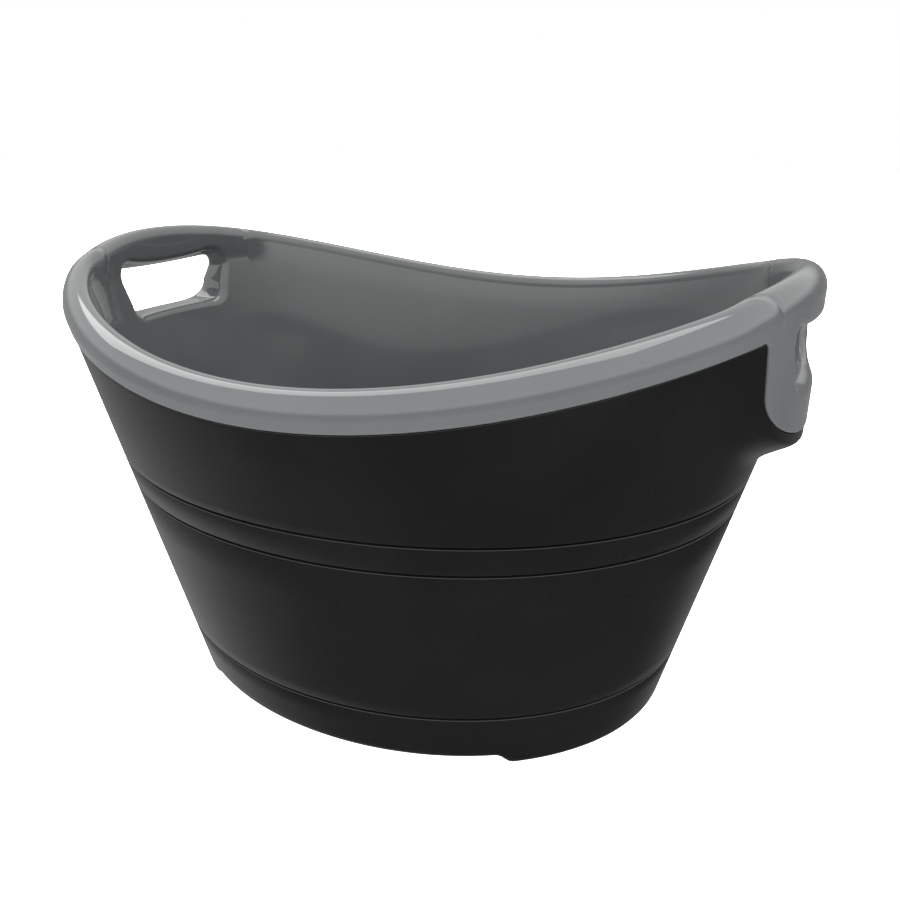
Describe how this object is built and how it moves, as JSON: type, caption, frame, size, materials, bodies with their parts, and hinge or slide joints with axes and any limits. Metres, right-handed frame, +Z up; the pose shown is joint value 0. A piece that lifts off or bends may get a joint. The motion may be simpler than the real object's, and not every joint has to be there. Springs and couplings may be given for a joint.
{
  "type": "insulated oval tub",
  "caption": "Open oval double-walled tub with a flared ribbed shell, a saddle-shaped rolled rim, a smooth inner liner and a hand-hole through each end.",
  "frame": {"origin": "centre of the resting plane, under the middle of the oval", "axes": "+X along the length towards the right-hand end, +Y across the width towards the back, +Z up"},
  "size_m": [0.4816, 0.4174, 0.294],
  "materials": {
    "black_shell": "moulded satin-gloss black polypropylene with a fine grain",
    "grey_liner": "smooth glossy neutral-cool grey polypropylene",
    "grey_grip": "glossy grey polypropylene, same colour as the liner",
    "foam": "rigid cream polyurethane foam, hidden",
    "black_plug": "matt black pressed-in plug"
  },
  "bodies": {
    "root": {"outer_shell": "black_shell", "inner_liner": "grey_liner", "right_grip": "grey_grip", "left_grip": "grey_grip", "foam_core": "foam", "foam_fill_plug": "black_plug"}
  },
  "joints": []
}
